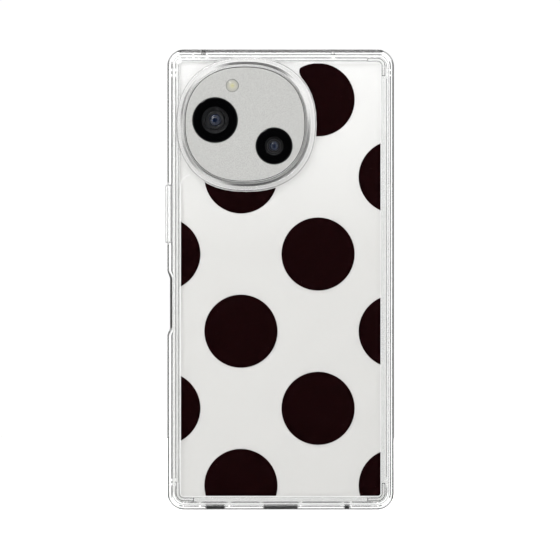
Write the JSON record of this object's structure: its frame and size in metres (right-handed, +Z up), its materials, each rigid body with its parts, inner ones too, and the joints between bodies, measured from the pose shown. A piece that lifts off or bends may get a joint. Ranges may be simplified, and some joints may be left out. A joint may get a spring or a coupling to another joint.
{
  "type": "smartphone in a clear bumper case",
  "caption": "Slab smartphone with a rounded camera island, held in a clear shock-absorbing case with printed dots on its back.",
  "frame": {"origin": "centre of the footprint, at the lower edge of the case", "axes": "+Z up the phone's long axis, +Y out through the display, -Y out through the printed back and the cameras, +X to the right seen from behind"},
  "size_m": [0.0796, 0.0128, 0.1604],
  "materials": {
    "clear_rubber": "clear glossy flexible plastic",
    "clear_plate": "clear hard plastic",
    "dot_ink": "satin black ink",
    "rear_cover": "white frosted",
    "frame_metal": "satin anodised",
    "camera_panel": "fine sparkle",
    "black_glass": "polished black",
    "lens_glass": "coated lens",
    "black_plastic": "moulded black",
    "flash_diffuser": "translucent",
    "flash_led": "yellow phosphor",
    "circuit_board": "green solder mask",
    "shield_can": "plated sheet",
    "copper": "bare copper",
    "battery_wrap": "wrapped cell",
    "flex_circuit": "amber film",
    "steel": "machined"
  },
  "bodies": {
    "case": {"case_bumper": "clear_rubber", "case_back_plate": "clear_plate", "printed_dot_01": "dot_ink", "printed_dot_02": "dot_ink", "printed_dot_03": "dot_ink", "printed_dot_04": "dot_ink", "printed_dot_05": "dot_ink", "printed_dot_06": "dot_ink", "printed_dot_07": "dot_ink", "printed_dot_08": "dot_ink", "printed_dot_09": "dot_ink", "printed_dot_10": "dot_ink", "printed_dot_11": "dot_ink"},
    "volume_cover": {"case_volume_cover": "clear_rubber"},
    "phone": {"mid_frame": "frame_metal", "rear_cover": "rear_cover", "display_glass": "black_glass", "display_panel": "black_plastic", "vapour_chamber": "copper", "volume_up_switch": "steel", "volume_down_switch": "steel", "power_switch": "steel", "camera_island": "frame_metal", "camera_panel": "camera_panel", "main_lens_window": "black_glass", "main_camera_housing": "black_plastic", "wide_lens_window": "black_glass", "wide_camera_housing": "black_plastic", "flash_lens": "flash_diffuser", "flash_led": "flash_led", "front_camera": "black_plastic", "earpiece": "black_plastic", "main_board": "circuit_board", "main_shield_can": "shield_can", "power_shield_can": "shield_can", "upper_bracket": "black_plastic", "nfc_coil": "copper", "sim_tray": "frame_metal", "sim_connector": "shield_can", "battery": "battery_wrap", "board_flex": "flex_circuit", "sub_board": "circuit_board", "usb_receptacle": "steel", "speaker_box": "black_plastic", "haptic_housing": "steel", "bracket_screw_1": "steel", "bracket_screw_2": "steel", "bracket_screw_3": "steel", "bracket_screw_4": "steel", "bracket_screw_5": "steel", "bracket_screw_6": "steel"},
    "volume_rocker": {"volume_key": "frame_metal"},
    "power_button": {"power_key": "frame_metal"},
    "main_autofocus": {"main_lens_barrel": "black_plastic", "main_lens_glass": "lens_glass"},
    "wide_autofocus": {"wide_lens_barrel": "black_plastic", "wide_lens_glass": "lens_glass"},
    "haptic_weight": {"haptic_mass": "steel"}
  },
  "joints": [
    {"name": "phone_lift_out", "type": "slide", "parent": "case", "child": "phone", "axis": [0, 1, 0], "range_m": [0, 0.025]},
    {"name": "volume_cover_rock", "type": "hinge", "parent": "case", "child": "volume_cover", "pos_m": [-0.0375, 0.00125, 0.1031], "axis": [0, 1, 0], "range_deg": [-1.2, 1.2], "stiffness_Nm_per_rad": 0.4},
    {"name": "volume_key_rock", "type": "hinge", "parent": "phone", "child": "volume_rocker", "pos_m": [-0.0375, 0.00125, 0.1031], "axis": [0, 1, 0], "range_deg": [-1.2, 1.2], "stiffness_Nm_per_rad": 0.4},
    {"name": "power_key_press", "type": "slide", "parent": "phone", "child": "power_button", "axis": [1, 0, 0], "range_m": [0, 0.00018], "stiffness_N_per_m": 8000},
    {"name": "main_autofocus_travel", "type": "slide", "parent": "phone", "child": "main_autofocus", "axis": [0, -1, 0], "range_m": [0, 0.0003], "stiffness_N_per_m": 300},
    {"name": "wide_autofocus_travel", "type": "slide", "parent": "phone", "child": "wide_autofocus", "axis": [0, -1, 0], "range_m": [0, 0.00025], "stiffness_N_per_m": 200},
    {"name": "haptic_mass_travel", "type": "slide", "parent": "phone", "child": "haptic_weight", "axis": [1, 0, 0], "range_m": [-0.0004, 0.0004], "stiffness_N_per_m": 2500}
  ],
  "couplings": [
    {"joint": "volume_cover_rock", "follows": "volume_key_rock", "ratio": 1}
  ]
}
